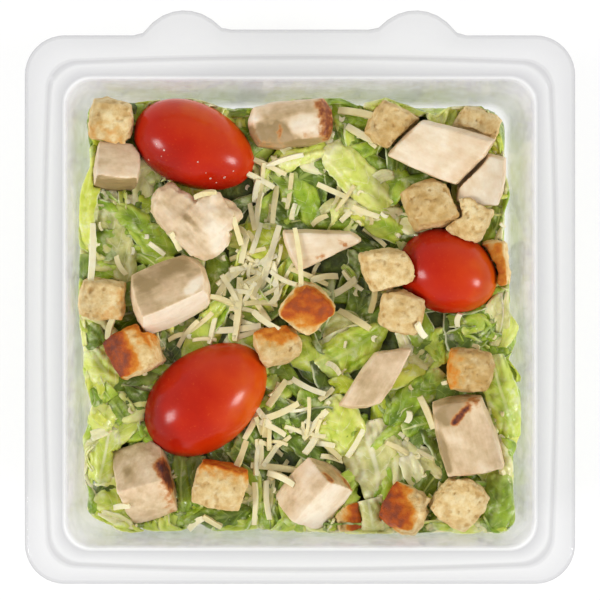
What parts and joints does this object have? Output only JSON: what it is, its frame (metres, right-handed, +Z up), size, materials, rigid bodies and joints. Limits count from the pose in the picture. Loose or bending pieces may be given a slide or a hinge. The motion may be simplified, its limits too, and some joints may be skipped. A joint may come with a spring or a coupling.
{
  "type": "chicken caesar salad",
  "caption": "Chopped romaine and shredded cheese with diced chicken, croutons and small plum tomatoes in a clear square tray.",
  "frame": {"origin": "middle of the bounding box in X and Y, on the surface the tray stands on", "axes": "+Z up, +Y towards the side of the tray with the two opening tabs, +X to the right when that side is away"},
  "size_m": [0.152, 0.1584, 0.05],
  "materials": {
    "clear_plastic": "clear glossy formed sheet",
    "salad": "fresh leaf, moist with dressing",
    "tomato": "smooth shiny skin",
    "chicken": "moist cooked meat",
    "crouton": "dry toasted bread"
  },
  "bodies": {
    "root": {"tray": "clear_plastic", "salad": "salad", "tomato_1": "tomato", "tomato_2": "tomato", "tomato_3": "tomato", "chicken_1": "chicken", "chicken_2": "chicken", "chicken_3": "chicken", "chicken_4": "chicken", "chicken_5": "chicken", "chicken_6": "chicken", "chicken_7": "chicken", "chicken_8": "chicken", "chicken_9": "chicken", "chicken_10": "chicken", "chicken_11": "chicken", "crouton_1": "crouton", "crouton_2": "crouton", "crouton_3": "crouton", "crouton_4": "crouton", "crouton_5": "crouton", "crouton_6": "crouton", "crouton_7": "crouton", "crouton_8": "crouton", "crouton_9": "crouton", "crouton_10": "crouton", "crouton_11": "crouton", "crouton_12": "crouton", "crouton_13": "crouton", "crouton_14": "crouton", "crouton_15": "crouton", "crouton_16": "crouton", "crouton_17": "crouton"}
  },
  "joints": []
}
